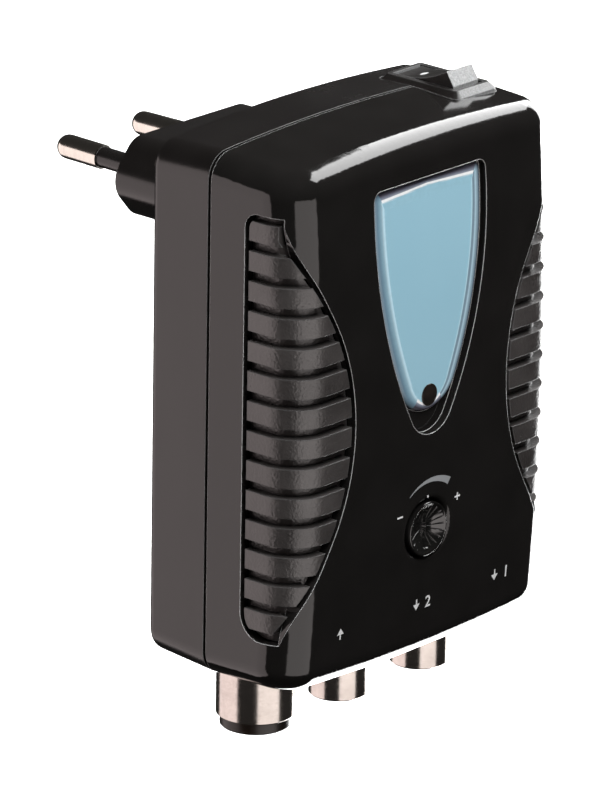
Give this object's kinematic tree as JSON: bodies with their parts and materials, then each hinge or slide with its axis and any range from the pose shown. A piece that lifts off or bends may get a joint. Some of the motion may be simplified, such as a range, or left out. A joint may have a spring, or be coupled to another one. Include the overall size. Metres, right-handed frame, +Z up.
{
  "type": "aerial signal amplifier",
  "caption": "Plug-in television aerial amplifier: flat housing with ribbed side grips, rocker switch on top, gain knob in front, coaxial sockets below and a mains plug behind.",
  "frame": {"origin": "midway between the two mains pins, on the end face of the plug that meets the wall socket", "axes": "+Z up, +Y towards the wall along the pins, -Y the front of the housing, +X to the right seen from the front"},
  "size_m": [0.0628, 0.0717, 0.1005],
  "materials": {
    "rear_plastic": "satin",
    "front_plastic": "polished",
    "grip_plastic": "fine grain",
    "lens_plastic": "polished",
    "light_pipe": "smoked",
    "lamp": "clear tinted",
    "knob_plastic": "polished",
    "shaft_plastic": "satin",
    "control_body": "satin",
    "switch_plastic": "fine grain",
    "nickel": "satin",
    "socket_liner": "satin",
    "insulator": "satin",
    "contact_brass": "satin",
    "board": "satin",
    "tinplate": "satin",
    "core_steel": "rolled",
    "winding_tape": "satin",
    "bobbin_plastic": "satin",
    "capacitor_sleeve": "satin",
    "epoxy": "satin",
    "zinc_steel": "zinc plated"
  },
  "bodies": {
    "body": {"rear_shell": "rear_plastic", "front_shell": "front_plastic", "left_grip": "grip_plastic", "right_grip": "grip_plastic", "lens": "lens_plastic", "light_pipe": "light_pipe", "lamp": "lamp", "potentiometer": "control_body", "switch_housing": "switch_plastic", "switch_terminals": "contact_brass", "left_pin": "nickel", "right_pin": "nickel", "left_pin_sleeve": "rear_plastic", "right_pin_sleeve": "rear_plastic", "pin_carrier": "rear_plastic", "left_contact_strip": "contact_brass", "right_contact_strip": "contact_brass", "input_sleeve": "nickel", "input_liner": "socket_liner", "input_insulator": "insulator", "input_contact": "nickel", "output_1_sleeve": "nickel", "output_1_insulator": "insulator", "output_1_pin": "nickel", "output_2_sleeve": "nickel", "output_2_insulator": "insulator", "output_2_pin": "nickel", "circuit_board": "board", "screening_can": "tinplate", "transformer_core": "core_steel", "transformer_bobbin": "bobbin_plastic", "transformer_winding": "winding_tape", "capacitor": "capacitor_sleeve", "diodes": "epoxy", "regulator": "epoxy", "housing_screws": "zinc_steel", "board_screws": "zinc_steel"},
    "gain_control": {"gain_knob": "knob_plastic", "gain_shaft": "shaft_plastic"},
    "rocker": {"rocker": "switch_plastic"}
  },
  "joints": [
    {"name": "gain_turn", "type": "hinge", "parent": "body", "child": "gain_control", "pos_m": [0, -0.05, -0.04965], "axis": [0, 1, 0], "range_deg": [-140, 140]},
    {"name": "rocker_tilt", "type": "hinge", "parent": "body", "child": "rocker", "pos_m": [0.0214, -0.0338, 0.0139], "axis": [1, 0, 0], "range_deg": [0, 28]}
  ]
}
